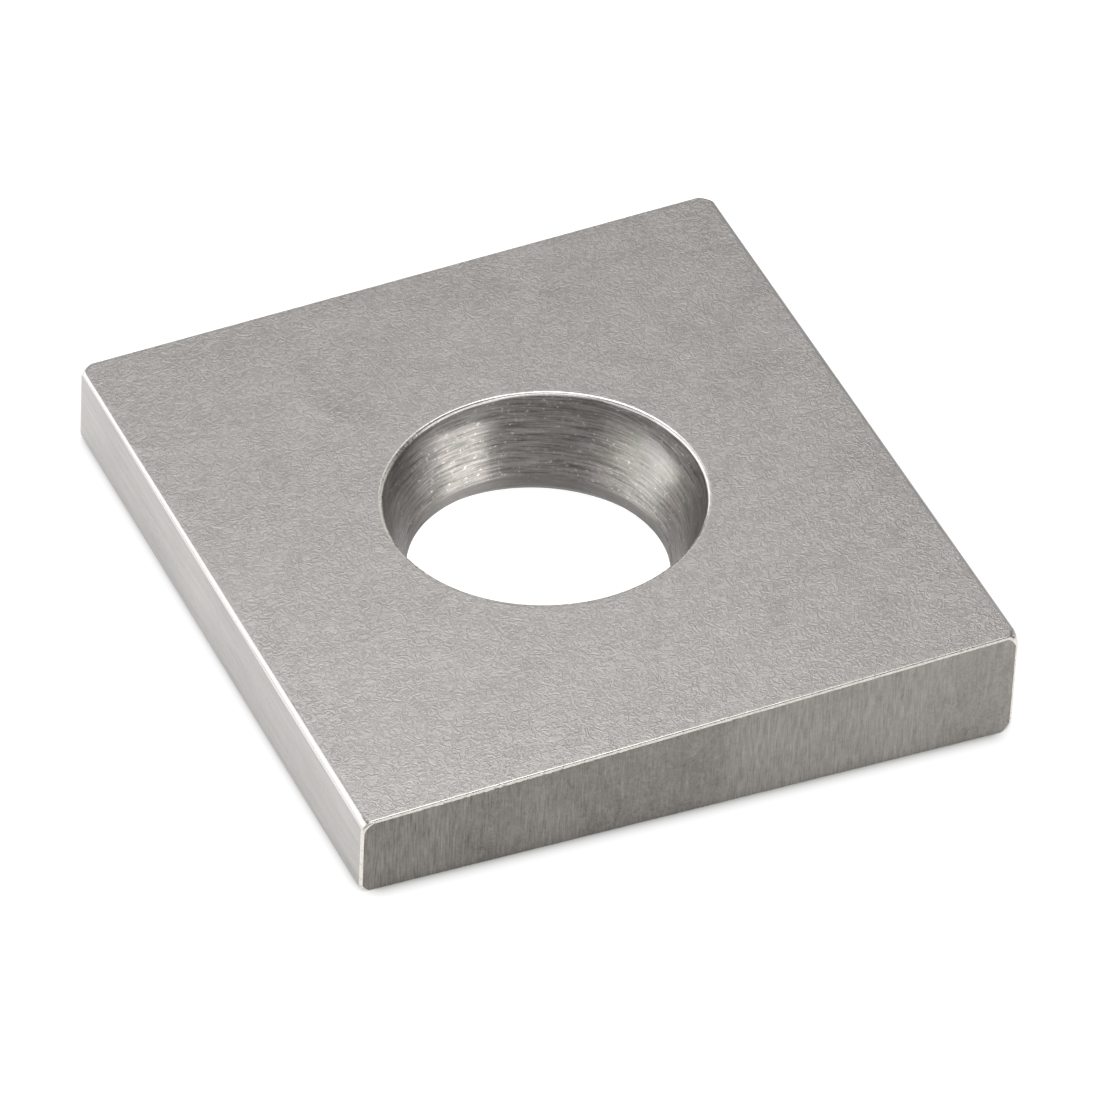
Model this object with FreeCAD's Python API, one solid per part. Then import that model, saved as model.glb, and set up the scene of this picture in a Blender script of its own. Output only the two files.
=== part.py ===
import FreeCAD, Part
import math
import os

# Taper washer: a length sawn off a rolled wedge bar, with one countersunk bore through it.
# All lengths are in millimetres and all angles in degrees.
# Origin: on the bore's axis, in the flat underside. +X points to the thick edge, +Z up to the
# sloping face, and the two sawn faces look along -Y and +Y.

# Plate
LENGTH_ALONG_TAPER = 46.0
WIDTH_ACROSS_TAPER = 50.0
THIN_EDGE_HEIGHT = 5.8
TAPER_ANGLE = 3.0
ROLLED_CORNER_RADIUS = 0.7
CREST_RADIUS = 0.32
SAWN_EDGE_ROUNDING = 0.2

# Bore
BORE_DIAMETER = 17.5
LAND_HEIGHT = 0.8
COUNTERSINK_ANGLE = 42.0
UNDERSIDE_CHAMFER = 1.0
RIM_ROUNDING = 0.25

# How far the cutting shape runs past each face of the plate
CUT_OVERRUN = 2.0
# How close a vertex must lie to a face or line to count as being on it
ON_FACE = 1e-5


def slope_height(x):
    """Height of the sloping face above the underside at a place along the taper."""
    return THIN_EDGE_HEIGHT + (x + LENGTH_ALONG_TAPER / 2) * math.tan(math.radians(TAPER_ANGLE))


def wedge_bar():
    """The bar's four-sided section, drawn at the near sawn face and run through to the far one."""
    thin_x = -LENGTH_ALONG_TAPER / 2
    thick_x = LENGTH_ALONG_TAPER / 2
    near_y = -WIDTH_ACROSS_TAPER / 2
    corners = [
        FreeCAD.Vector(thin_x, near_y, 0),
        FreeCAD.Vector(thick_x, near_y, 0),
        FreeCAD.Vector(thick_x, near_y, slope_height(thick_x)),
        FreeCAD.Vector(thin_x, near_y, slope_height(thin_x)),
    ]
    section = Part.Face(Part.makePolygon(corners + corners[:1]))
    return section.extrude(FreeCAD.Vector(0, WIDTH_ACROSS_TAPER, 0))


def runs_across(edge):
    """True for an edge that runs from one sawn face to the other."""
    start, end = (vertex.Point for vertex in edge.Vertexes)
    return abs(abs(end.y - start.y) - WIDTH_ACROSS_TAPER) < ON_FACE


def is_crest(edge):
    """True for the thick edge's upper corner, the highest line of the plate."""
    crest_height = slope_height(LENGTH_ALONG_TAPER / 2)
    return runs_across(edge) and abs(edge.BoundBox.ZMax - crest_height) < ON_FACE


def is_rolled_corner(edge):
    """True for the bar's other three corners."""
    return runs_across(edge) and not is_crest(edge)


def outlines_sawn_face(edge):
    """True for an edge that lies in one of the two sawn faces."""
    box = edge.BoundBox
    flat = box.YLength < ON_FACE
    return flat and abs(abs(box.Center.y) - WIDTH_ACROSS_TAPER / 2) < ON_FACE


def rounded(solid, radius, wanted):
    """The solid with every edge that passes the wanted test rounded to the radius."""
    edges = [edge for edge in solid.Edges if wanted(edge)]
    return solid.makeFillet(radius, edges)


def bore_cutter():
    """What the drill and the countersink take away: underside chamfer, straight land and cone."""
    bore_radius = BORE_DIAMETER / 2
    below = -CUT_OVERRUN
    land_bottom = UNDERSIDE_CHAMFER
    land_top = land_bottom + LAND_HEIGHT
    above = slope_height(LENGTH_ALONG_TAPER / 2) + CUT_OVERRUN
    cone_spread = (above - land_top) * math.tan(math.radians(COUNTERSINK_ANGLE / 2))
    half_section = [
        FreeCAD.Vector(0, 0, below),
        FreeCAD.Vector(bore_radius + UNDERSIDE_CHAMFER - below, 0, below),
        FreeCAD.Vector(bore_radius, 0, land_bottom),
        FreeCAD.Vector(bore_radius, 0, land_top),
        FreeCAD.Vector(bore_radius + cone_spread, 0, above),
        FreeCAD.Vector(0, 0, above),
    ]
    section = Part.Face(Part.makePolygon(half_section + half_section[:1]))
    return section.revolve(FreeCAD.Vector(0, 0, 0), FreeCAD.Vector(0, 0, 1), 360)


def is_countersink_rim(edge):
    """True for the closed edge where the cone comes out through the sloping face."""
    if not edge.isClosed():
        return False
    point = edge.Vertexes[0].Point
    off_axis = math.hypot(point.x, point.y)
    on_slope = abs(point.z - slope_height(point.x)) < ON_FACE
    return on_slope and off_axis > BORE_DIAMETER / 2


def taper_washer():
    """The finished washer: rolled corners, sawn ends with their edges broken, and the bore."""
    soft_bar = rounded(wedge_bar(), ROLLED_CORNER_RADIUS, is_rolled_corner)
    bar = rounded(soft_bar, CREST_RADIUS, is_crest)
    blank = rounded(bar, SAWN_EDGE_ROUNDING, outlines_sawn_face)
    bored = blank.cut(bore_cutter())
    return rounded(bored, RIM_ROUNDING, is_countersink_rim).Solids[0]


os.makedirs("parts", exist_ok=True)
taper_washer().exportStep("parts/taper_washer.step")
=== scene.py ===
"""Looks of the taper washer: the steel wedge plate, its studio and its camera."""

import logging
import math
from dataclasses import dataclass, field, fields
from enum import Enum, IntEnum
from typing import Any, Callable, Iterable, Optional, Union

import bpy
from mathutils import Matrix, Vector


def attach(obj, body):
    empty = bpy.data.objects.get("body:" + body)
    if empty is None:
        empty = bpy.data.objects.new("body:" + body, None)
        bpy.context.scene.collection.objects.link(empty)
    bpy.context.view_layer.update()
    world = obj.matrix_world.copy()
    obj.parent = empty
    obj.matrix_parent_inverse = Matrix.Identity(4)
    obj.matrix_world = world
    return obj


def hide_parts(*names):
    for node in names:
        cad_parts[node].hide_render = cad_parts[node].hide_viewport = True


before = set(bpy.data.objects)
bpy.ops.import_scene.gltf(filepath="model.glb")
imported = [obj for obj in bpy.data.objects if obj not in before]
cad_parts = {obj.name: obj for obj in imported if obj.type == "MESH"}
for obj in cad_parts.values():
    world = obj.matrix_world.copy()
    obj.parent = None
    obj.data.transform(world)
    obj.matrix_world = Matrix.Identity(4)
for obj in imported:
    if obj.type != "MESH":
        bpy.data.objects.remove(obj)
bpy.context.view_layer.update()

MM = 0.001
# Points closer than this are one, or lie on a face
MERGE_MM = 0.002
NEAR_MM = 0.01
# The flat faces' openings lie at least this far in from the sawn faces
INNER_MM = 0.1
FULL_TURN = 2 * math.pi
# The share of a full turn that lays highlights across rings round the Z axis
ACROSS_THE_GRAIN = 0.25
LOG = logging.getLogger("taper_washer")

Number = Union[float, "Signal"]
Colour = tuple[float, float, float]
Triple = tuple[float, float, float]


# Node maths


def worked(operation: str, swapped: bool = False) -> Callable[["Signal", Number], "Signal"]:
    """Makes the method behind one of Python's operators.

    Args:
        operation: The Math node's operation.
        swapped: Whether the signal is the operator's second term.

    Returns:
        The method, which adds the node.
    """

    def method(signal: "Signal", other: Number) -> "Signal":
        """Works on the signal and another number."""
        terms = (other, signal) if swapped else (signal, other)
        return signal.graph.maths(operation, *terms)

    return method


class Signal:
    """One output socket of a node tree, which Python's operators can work with."""

    __add__ = worked("ADD")
    __radd__ = worked("ADD", swapped=True)
    __sub__ = worked("SUBTRACT")
    __rsub__ = worked("SUBTRACT", swapped=True)
    __mul__ = worked("MULTIPLY")
    __rmul__ = worked("MULTIPLY", swapped=True)
    __truediv__ = worked("DIVIDE")
    __rtruediv__ = worked("DIVIDE", swapped=True)
    __lt__ = worked("LESS_THAN")
    __gt__ = worked("GREATER_THAN")

    def __init__(self, graph: "Graph", socket: bpy.types.NodeSocket) -> None:
        """Keeps the socket and the graph that it belongs to."""
        self.graph = graph
        self.socket = socket

    def __neg__(self) -> "Signal":
        """This with its sign changed."""
        return self.graph.maths("MULTIPLY", self, -1.0)

    def __abs__(self) -> "Signal":
        """This without its sign."""
        return self.graph.maths("ABSOLUTE", self)


class Graph:
    """A node tree that is written as Python expressions."""

    def __init__(self, tree: bpy.types.NodeTree) -> None:
        """Keeps the tree."""
        self.tree = tree

    def node(self, kind: str, settings: dict[str, Any], feeds: dict[str, Any], output: str = "") -> Signal:
        """Adds one node.

        Args:
            kind: The node's type.
            settings: Its properties, which are set first.
            feeds: What its input sockets get, by identifier: values, signals or lists of signals.
            output: The identifier of the output that is wanted, or the first one.

        Returns:
            The wanted output.
        """
        node = self.tree.nodes.new(kind)
        for name, value in settings.items():
            setattr(node, name, value)
        sockets = {socket.identifier: socket for socket in node.inputs}
        for name, value in feeds.items():
            self.feed(sockets[name], value)
        if output:
            chosen = next(socket for socket in node.outputs if socket.identifier == output)
        else:
            chosen = next((socket for socket in node.outputs if socket.enabled), None)
        return Signal(self, chosen)

    def feed(self, socket: bpy.types.NodeSocket, value: Any) -> None:
        """Gives an input socket its value or its links.

        Args:
            socket: The input socket.
            value: A signal, a list of signals, or a plain value.
        """
        if isinstance(value, list):
            for signal in value:
                self.tree.links.new(signal.socket, socket)
        elif isinstance(value, Signal):
            self.tree.links.new(value.socket, socket)
        else:
            socket.default_value = value

    def maths(self, operation: str, *terms: Number) -> Signal:
        """One Math node.

        Args:
            operation: Its operation.
            terms: Its one, two or three values.

        Returns:
            The result.
        """
        names = ("Value", "Value_001", "Value_002")
        return self.node("ShaderNodeMath", {"operation": operation}, dict(zip(names, terms)))

    def sine(self, angle: Number) -> Number:
        """The sine of an angle in radians."""
        return self.maths("SINE", angle) if isinstance(angle, Signal) else math.sin(angle)

    def cosine(self, angle: Number) -> Number:
        """The cosine of an angle in radians."""
        return self.maths("COSINE", angle) if isinstance(angle, Signal) else math.cos(angle)

    def tangent(self, angle: Number) -> Number:
        """The tangent of an angle in radians."""
        return self.maths("TANGENT", angle) if isinstance(angle, Signal) else math.tan(angle)

    def clamped(self, value: Signal) -> Signal:
        """A value held between nought and one."""
        return self.node("ShaderNodeClamp", {}, {"Value": value})

    def eased(self, value: Signal, low: Number, high: Number) -> Signal:
        """A smooth step.

        Args:
            value: What is measured.
            low: Where the step leaves nought.
            high: Where it reaches one.

        Returns:
            The step, from nought to one.
        """
        feeds = {"Value": value, "From Min": low, "From Max": high}
        return self.node("ShaderNodeMapRange", {"interpolation_type": "SMOOTHSTEP"}, feeds)

    def vector(self, x: Number, y: Number, z: Number) -> Signal:
        """Three numbers put together as a vector."""
        return self.node("ShaderNodeCombineXYZ", {}, {"X": x, "Y": y, "Z": z})

    def parts(self, vector: Signal) -> tuple[Signal, Signal, Signal]:
        """A vector's three numbers."""
        first = self.node("ShaderNodeSeparateXYZ", {}, {"Vector": vector}, "X")
        outputs = first.socket.node.outputs
        return first, Signal(self, outputs["Y"]), Signal(self, outputs["Z"])

    def noise(
        self, place: Signal, scale: Number = 1.0, detail: float = 2.0, distortion: float = 0.0
    ) -> Signal:
        """Soft random values round one half.

        Args:
            place: Where each point lies in the pattern.
            scale: How many cells the pattern has in one unit of place.
            detail: How many finer layers are added.
            distortion: How far the cells are warped.

        Returns:
            The values.
        """
        feeds = {"Vector": place, "Scale": scale, "Detail": detail, "Distortion": distortion}
        return self.node("ShaderNodeTexNoise", {}, feeds, "Fac")


# Finishes


class Paint(Graph):
    """A material's node tree, with the nodes that all the finishes share."""

    def __init__(self, name: str) -> None:
        """Makes an empty material of that name."""
        self.material = bpy.data.materials.new(name)
        self.material.use_nodes = True
        self.material.node_tree.nodes.clear()
        super().__init__(self.material.node_tree)
        self.place = self.node("ShaderNodeTexCoord", {}, {}, "Object")

    @staticmethod
    def mixed(patterns: tuple[Signal, ...], shares: tuple[float, ...]) -> Signal:
        """The sum of several patterns, each times its share."""
        total = patterns[0] * shares[0]
        for pattern, share in zip(patterns[1:], shares[1:]):
            total = total + pattern * share
        return total

    def blend(self, factor: Number, first: Any, second: Any) -> Signal:
        """Two colours mixed.

        Args:
            factor: How much of the second there is.
            first: The first colour, as a triple or a signal.
            second: The second colour.

        Returns:
            The mixed colour.
        """
        tones = [(*tone, 1.0) if isinstance(tone, tuple) else tone for tone in (first, second)]
        feeds = {"Factor_Float": factor, "A_Color": tones[0], "B_Color": tones[1]}
        return self.node("ShaderNodeMix", {"data_type": "RGBA"}, feeds, "Result_Color")

    def relief(self, height: Signal, depth_mm: float) -> Signal:
        """A surface normal bent by a height pattern.

        Args:
            height: The pattern, from nought to one.
            depth_mm: How deep the pattern is, in millimetres.

        Returns:
            The bent normal.
        """
        feeds = {"Height": height, "Distance": depth_mm * MM, "Strength": 1.0}
        return self.node("ShaderNodeBump", {}, feeds)

    def steel(
        self, tone: Signal, roughness: Signal, normal: Signal, grain: float = 0.0
    ) -> bpy.types.Material:
        """Ends the material in a bare steel shader.

        Args:
            tone: The steel's colour.
            roughness: How dull it is.
            normal: Its bent normal.
            grain: How much longer highlights are across the tool marks than along them.

        Returns:
            The finished material.
        """
        turn = ACROSS_THE_GRAIN if grain else 0.0
        feeds = {"Base Color": tone, "Metallic": 1.0, "Roughness": roughness, "Normal": normal,
                 "Anisotropic": grain, "Anisotropic Rotation": turn}
        shader = self.node("ShaderNodeBsdfPrincipled", {}, feeds)
        self.node("ShaderNodeOutputMaterial", {}, {"Surface": shader})
        return self.material


@dataclass(frozen=True)
class Grain:
    """One layer of a finish's pattern.

    Attributes:
        cell_mm: Length of its cells along X, Y and Z, in millimetres.
        shift: How many cells it is moved.
        detail: How many finer layers are added.
        distortion: How far the cells are warped.
    """

    cell_mm: Triple
    shift: Triple = (0.0, 0.0, 0.0)
    detail: float = 2.0
    distortion: float = 0.0

    def on(self, paint: Paint) -> Signal:
        """Adds the layer to a material."""
        scale = tuple(1 / (length * MM) for length in self.cell_mm)
        feeds = {"Vector": paint.place, "Location": self.shift, "Scale": scale}
        place = paint.node("ShaderNodeMapping", {}, feeds)
        return paint.noise(place, 1.0, self.detail, self.distortion)


@dataclass(frozen=True)
class RingGrain:
    """One layer of the bore's pattern, which runs round the bore without a seam.

    Attributes:
        patches: How many of its cells there are over each radian.
        rows: How many rows of them there are for one ring.
        shift: How many rows it is moved.
        detail: How many finer layers are added.
        distortion: How far the cells are warped.
    """

    patches: float
    rows: float = 1.0
    shift: float = 0.0
    detail: float = 2.0
    distortion: float = 0.0

    def on(self, paint: Paint, way: tuple[Signal, Signal], up: Number) -> Signal:
        """Adds the layer to a material.

        Args:
            paint: The material's tree.
            way: The way out from the axis, as a vector of length one.
            up: The place up the wall, in rings.

        Returns:
            The layer.
        """
        place = paint.vector(way[0] * self.patches, way[1] * self.patches, up * self.rows + self.shift)
        return paint.noise(place, 1.0, self.detail, self.distortion)


@dataclass(frozen=True)
class BlastedFace:
    """The matt sloping face and underside, crazed all over with short curled strokes."""

    dark: Colour = (0.230, 0.2185, 0.210)
    light: Colour = (0.535, 0.514, 0.498)
    fine: Grain = Grain((0.17, 0.17, 0.17), distortion=0.8)
    clouds: Grain = Grain((4.0, 4.0, 4.0), detail=3.0, distortion=0.6)
    stains: Grain = Grain((1.2, 1.2, 1.2), (2.0, 8.0, 1.0), distortion=0.8)
    # The swirls that the strokes follow, strokes side by side in one, and how far they are pushed aside
    swirls: Grain = Grain((0.56, 0.56, 0.56), (7.0, 3.0, 0.0), detail=1.0, distortion=0.9)
    strokes: float = 3.2
    stray: float = 0.6
    # How much of the tone the grain, strokes, clouds and stains give, and what is taken off it
    shares: tuple[float, ...] = (0.70, 0.16, 0.32, 0.26)
    darkening: float = 0.26
    roughness: float = 0.38
    cloud_dulling: float = 0.14
    grain_dulling: float = 0.12
    depth_mm: float = 0.021
    # The grain's share of the depth. The strokes have the rest
    grain_depth: float = 0.6

    def material(self) -> bpy.types.Material:
        """Makes the material."""
        paint = Paint("blasted_steel")
        fine, swirls = self.fine.on(paint), self.swirls.on(paint)
        strokes = paint.sine((swirls * self.strokes + fine * self.stray) * FULL_TURN) * 0.5 + 0.5
        clouds, stains = self.clouds.on(paint), self.stains.on(paint)
        mottle = paint.mixed((fine, strokes, clouds, stains), self.shares) - self.darkening
        tone = paint.blend(paint.clamped(mottle), self.dark, self.light)
        dulling = (clouds - 0.5) * self.cloud_dulling + (fine - 0.5) * self.grain_dulling
        height = paint.mixed((fine, strokes), (self.grain_depth, 1 - self.grain_depth))
        return paint.steel(tone, dulling + self.roughness, paint.relief(height, self.depth_mm))


@dataclass(frozen=True)
class SawnFace:
    """The two sawn faces: darker steel with short upright streaks."""

    dark: Colour = (0.115, 0.108, 0.099)
    light: Colour = (0.380, 0.359, 0.333)
    streaks: Grain = Grain((0.11, 1.0, 1.6), distortion=0.2)
    broad_streaks: Grain = Grain((0.45, 1.0, 3.0), (5.0, 0.0, 1.0), distortion=0.3)
    mottle: Grain = Grain((0.28, 0.28, 0.36), (3.0, 0.0, 5.0), distortion=1.4)
    clouds: Grain = Grain((5.0, 5.0, 3.0), (1.0, 0.0, 2.0), detail=3.0, distortion=0.5)
    # The brushed stretches, where the streaks are plain to see, and how sharply they start
    brushed: Grain = Grain((11.0, 11.0, 30.0), (4.4, 0.0, 0.0), detail=1.0)
    brushed_range: tuple[float, float] = (0.38, 0.6)
    # The streaks' and the mottle's share of the tone, and how much each changes where it is brushed
    streak_shares: tuple[float, float] = (0.45, 0.55)
    mottle_shares: tuple[float, float] = (0.75, 0.3)
    # The share that the broad streaks and the clouds have each
    soft_share: float = 0.34
    # How much the tone grows from left to right, for each metre, as a painted light gradient, and what is
    # taken off it
    painted_light_across: float = 8.0
    darkening: float = 0.56
    roughness: float = 0.46
    cloud_dulling: float = 0.14
    mottle_dulling: float = 0.12
    depth_mm: float = 0.016
    # How much of the depth the streaks, the mottle and the broad streaks have
    depth_shares: tuple[float, ...] = (0.5, 0.4, 0.3)

    def material(self) -> bpy.types.Material:
        """Makes the material."""
        paint = Paint("sawn_steel")
        streaks, broad = self.streaks.on(paint), self.broad_streaks.on(paint)
        mottle, clouds = self.mottle.on(paint), self.clouds.on(paint)
        brushed = paint.eased(self.brushed.on(paint), *self.brushed_range)
        across, _, _ = paint.parts(paint.place)
        streak_share = brushed * self.streak_shares[1] + self.streak_shares[0]
        mottle_share = self.mottle_shares[0] - brushed * self.mottle_shares[1]
        sharp = streaks * streak_share + mottle * mottle_share
        # Painted light: the tone grows steadily towards +X, brighter on the right
        soft = (broad + clouds) * self.soft_share + across * self.painted_light_across
        tone = paint.blend(paint.clamped(sharp + soft - self.darkening), self.dark, self.light)
        dulling = (clouds - 0.5) * self.cloud_dulling + (mottle - 0.5) * self.mottle_dulling
        height = paint.mixed((streaks, mottle, broad), self.depth_shares)
        return paint.steel(tone, dulling + self.roughness, paint.relief(height, self.depth_mm))


@dataclass(frozen=True)
class RolledSide:
    """The thin and the thick side, bright from the rolls, with long lines that run with the bar."""

    dark: Colour = (0.223, 0.213, 0.204)
    light: Colour = (0.570, 0.549, 0.532)
    lines: Grain = Grain((0.10, 7.0, 0.10), detail=3.0, distortion=0.1)
    bands: Grain = Grain((0.5, 14.0, 0.5), (1.0, 2.0, 3.0), distortion=0.2)
    spots: Grain = Grain((0.22, 0.8, 0.22), (2.0, 9.0, 0.0), distortion=0.5)
    clouds: Grain = Grain((3.0, 8.0, 3.0))
    # How much of the tone the lines, spots, clouds and bands give, and what is taken off it
    shares: tuple[float, ...] = (0.7, 0.25, 0.3, 0.3)
    darkening: float = 0.28
    roughness: float = 0.30
    line_dulling: float = 0.2
    spot_dulling: float = 0.1
    depth_mm: float = 0.010
    # The lines' share of the depth. The spots have the rest
    line_depth: float = 0.75

    def material(self) -> bpy.types.Material:
        """Makes the material."""
        paint = Paint("rolled_steel")
        lines, bands = self.lines.on(paint), self.bands.on(paint)
        spots, clouds = self.spots.on(paint), self.clouds.on(paint)
        mix = paint.mixed((lines, spots, clouds, bands), self.shares) - self.darkening
        tone = paint.blend(paint.clamped(mix), self.dark, self.light)
        dulling = (lines - 0.5) * self.line_dulling + (spots - 0.5) * self.spot_dulling
        height = paint.mixed((lines, spots), (self.line_depth, 1 - self.line_depth))
        return paint.steel(tone, dulling + self.roughness, paint.relief(height, self.depth_mm))


@dataclass(frozen=True)
class TurnedBore:
    """The countersink, land and lower chamfer, with the cutter's rings running round them."""

    dark: Colour = (0.086, 0.080, 0.074)
    light: Colour = (0.56, 0.535, 0.51)
    # Painted shade: the darker tone low in the bore, on the land and the lower chamfer
    painted_land_shade: Colour = (0.20, 0.19, 0.18)
    ring_mm: float = 0.095
    rings: RingGrain = RingGrain(4.5, detail=3.0, distortion=0.15)
    grooves: RingGrain = RingGrain(3.4, 0.35, 7.0, distortion=0.3)
    flecks: RingGrain = RingGrain(34.0, 0.55, distortion=0.6)
    clouds: RingGrain = RingGrain(3.0, 0.06)
    # Where the rings stray up and down, and how far, in rings
    strays: RingGrain = RingGrain(2.0, shift=0.5)
    stray: float = 3.0
    # How much of the tone the rings, grooves, flecks, clouds and sparks give, and what is taken off it
    shares: tuple[float, ...] = (0.95, 0.3, 0.3, 0.25, 0.6)
    darkening: float = 0.60
    # Which of the flecks are sparks
    spark_range: tuple[float, float] = (0.64, 0.74)
    roughness: float = 0.41
    fleck_dulling: float = 0.16
    cloud_dulling: float = 0.1
    land_dulling: float = 0.15
    depth_mm: float = 0.013
    # How much of the depth the rings, grooves, flecks and sparks have
    depth_shares: tuple[float, ...] = (0.6, 0.2, 0.3, 0.4)
    # How much longer highlights are across the rings than along them
    grain: float = 0.82
    # Heights between which the land's painted shade and duller finish turn into the cone's, and the cone's
    # share in the land's tone
    land_top_mm: tuple[float, float] = (1.7, 2.05)
    least_turned: float = 0.3

    def material(self) -> bpy.types.Material:
        """Makes the material."""
        paint = Paint("turned_steel")
        x, y, z = paint.parts(paint.place)
        off_axis = paint.maths("SQRT", x * x + y * y)
        way = (x / off_axis, y / off_axis)
        up = z / (self.ring_mm * MM) + self.strays.on(paint, way, 0.0) * self.stray
        rings, grooves = self.rings.on(paint, way, up), self.grooves.on(paint, way, up)
        flecks, clouds = self.flecks.on(paint, way, up), self.clouds.on(paint, way, up)
        sparks = paint.eased(flecks, *self.spark_range)
        mix = paint.mixed((rings, grooves, flecks, clouds, sparks), self.shares) - self.darkening
        turned = paint.blend(paint.clamped(mix), self.dark, self.light)
        cone = paint.eased(z, self.land_top_mm[0] * MM, self.land_top_mm[1] * MM)
        # Below the land's top the tone is darkened: painted shade low in the bore
        tone = paint.blend(cone * (1 - self.least_turned) + self.least_turned, self.painted_land_shade, turned)
        dulling = (flecks - 0.5) * self.fleck_dulling + (clouds - 0.5) * self.cloud_dulling
        roughness = self.roughness + dulling + (1 - cone) * self.land_dulling
        height = paint.mixed((rings, grooves, flecks, sparks), self.depth_shares)
        return paint.steel(tone, roughness, paint.relief(height, self.depth_mm), self.grain)


@dataclass(frozen=True)
class BrokenEdge:
    """The narrow bright band where a file or a tumbler has broken the sharp edges."""

    dark: Colour = (0.55, 0.519, 0.477)
    light: Colour = (0.70, 0.666, 0.617)
    nicks: Grain = Grain((0.30, 0.30, 0.30), detail=3.0, distortion=0.6)
    fine: Grain = Grain((0.12, 0.12, 0.12), (4.0, 1.0, 6.0), detail=1.0)
    # The nicks' share of the tone and of the depth. The fine grain has the rest
    nick_share: float = 0.7
    nick_depth: float = 0.6
    # Which part of the pattern the tone runs over
    tone_range: tuple[float, float] = (0.34, 0.56)
    roughness: float = 0.28
    nick_dulling: float = 0.2
    depth_mm: float = 0.004

    def material(self) -> bpy.types.Material:
        """Makes the material."""
        paint = Paint("broken_edge_steel")
        nicks, fine = self.nicks.on(paint), self.fine.on(paint)
        mix = paint.mixed((nicks, fine), (self.nick_share, 1 - self.nick_share))
        tone = paint.blend(paint.eased(mix, *self.tone_range), self.dark, self.light)
        roughness = (nicks - 0.5) * self.nick_dulling + self.roughness
        height = paint.mixed((nicks, fine), (self.nick_depth, 1 - self.nick_depth))
        return paint.steel(tone, roughness, paint.relief(height, self.depth_mm))


@dataclass(frozen=True)
class RubbedCorner:
    """The smooth bright steel of the thin side's upper corner and of the rim's smooth side."""

    dark: Colour = (0.58, 0.565, 0.545)
    light: Colour = (0.70, 0.685, 0.665)
    lines: Grain = Grain((0.16, 9.0, 0.16), distortion=0.1)
    # Which part of the pattern the tone runs over
    tone_range: tuple[float, float] = (0.3, 0.7)
    roughness: float = 0.24
    line_dulling: float = 0.1
    depth_mm: float = 0.002

    def material(self) -> bpy.types.Material:
        """Makes the material."""
        paint = Paint("rubbed_steel")
        lines = self.lines.on(paint)
        tone = paint.blend(paint.eased(lines, *self.tone_range), self.dark, self.light)
        roughness = (lines - 0.5) * self.line_dulling + self.roughness
        return paint.steel(tone, roughness, paint.relief(lines, self.depth_mm))


# Shapes


class Way(IntEnum):
    """Which way a line turns, with its heading."""

    LEFT = 1
    RIGHT = -1


@dataclass(frozen=True)
class Run:
    """A straight stretch of a section's line.

    Attributes:
        length: How long it is.
        steps: How many mesh edges it is cut into.
    """

    length: Number
    steps: int


@dataclass(frozen=True)
class Bend:
    """A round stretch of a section's line.

    Attributes:
        radius: Its radius.
        turn: How far it turns, in radians.
        steps: How many mesh edges it is cut into.
        way: Which way it turns.
    """

    radius: Number
    turn: Number
    steps: int
    way: Way = Way.LEFT


@dataclass
class Line:
    """A flat line of straight and round stretches, as the mesh's rows or columns follow it."""

    start: tuple[Number, Number]
    heading: Number
    stretches: list[Union[Run, Bend]] = field(default_factory=list)

    def trace(self, graph: Graph, step: Signal) -> tuple[Number, Number, Number]:
        """Walks along the line.

        Args:
            graph: The tree that the maths goes into.
            step: How many mesh edges have been walked.

        Returns:
            The place's two coordinates, and the way the line heads there, in radians.
        """
        across, up = self.start
        begun_heading = heading = self.heading
        walked = 0
        for stretch in self.stretches:
            share = graph.clamped((step - float(walked)) / float(stretch.steps))
            if isinstance(stretch, Run):
                across = across + share * (stretch.length * graph.cosine(begun_heading))
                up = up + share * (stretch.length * graph.sine(begun_heading))
            else:
                way = float(stretch.way)
                now = share * stretch.turn * way + begun_heading
                across = across + stretch.radius * way * (graph.sine(now) - graph.sine(begun_heading))
                up = up + stretch.radius * way * (graph.cosine(begun_heading) - graph.cosine(now))
                heading = heading + share * stretch.turn * way
                begun_heading = begun_heading + stretch.turn * way
            walked += stretch.steps
        return across, up, heading


class Zone(IntEnum):
    """Which finish a part of the surface has."""

    BLASTED = 0
    SAWN = 1
    ROLLED = 2
    TURNED = 3
    BROKEN = 4
    RUBBED = 5


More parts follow.
